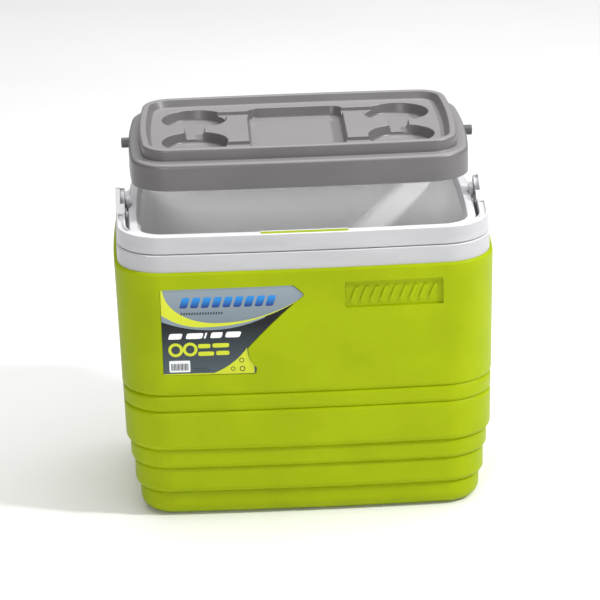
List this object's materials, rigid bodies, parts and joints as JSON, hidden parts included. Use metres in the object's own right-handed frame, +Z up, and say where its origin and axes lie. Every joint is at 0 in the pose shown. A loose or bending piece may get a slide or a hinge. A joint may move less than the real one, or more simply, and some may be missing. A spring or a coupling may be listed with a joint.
{
  "type": "picnic cooler with lift-off lid and bail handle",
  "caption": "Insulated picnic cooler: ribbed moulded chest with a white liner and rim, folded bail handle, and a lift-off lid with a tray and cup holders.",
  "frame": {"origin": "on the ground under the middle of the chest", "axes": "+Z up; front, with the label, faces -Y; +X to the right as seen from the front"},
  "size_m": [0.4398, 0.3069, 0.4315],
  "materials": {
    "shell_plastic": "lime green polyethylene with a fine pebbled texture",
    "white_plastic": "white polypropylene, satin to gloss",
    "liner_plastic": "smooth off-white polypropylene",
    "lid_plastic": "warm grey satin polyethylene",
    "dark_plastic": "dark grey moulded peg",
    "label_film": null,
    "foam": "cream rigid foam, hidden inside"
  },
  "bodies": {
    "chest": {"outer_shell": "shell_plastic", "body_foam": "foam", "inner_liner": "liner_plastic", "rim_collar": "white_plastic", "pivot_pin_left": "white_plastic", "pivot_pin_right": "white_plastic", "front_label": "label_film", "base_fill_plug": "shell_plastic"},
    "handle": {"handle_bail": "white_plastic", "grip_insert": "shell_plastic"},
    "lid": {"lid_top_shell": "lid_plastic", "lid_liner": "liner_plastic", "lid_foam": "foam", "lid_fill_plug": "liner_plastic", "lock_pin_left": "dark_plastic", "lock_pin_right": "dark_plastic"}
  },
  "joints": [
    {"name": "handle_swing", "type": "hinge", "parent": "chest", "child": "handle", "pos_m": [0, 0, 0.347], "axis": [-1, 0, 0], "range_deg": [0, 90]},
    {"name": "lid_lift", "type": "slide", "parent": "chest", "child": "lid", "axis": [0, 0.67, 0.7424], "range_m": [-0.0551, 0.15]}
  ]
}
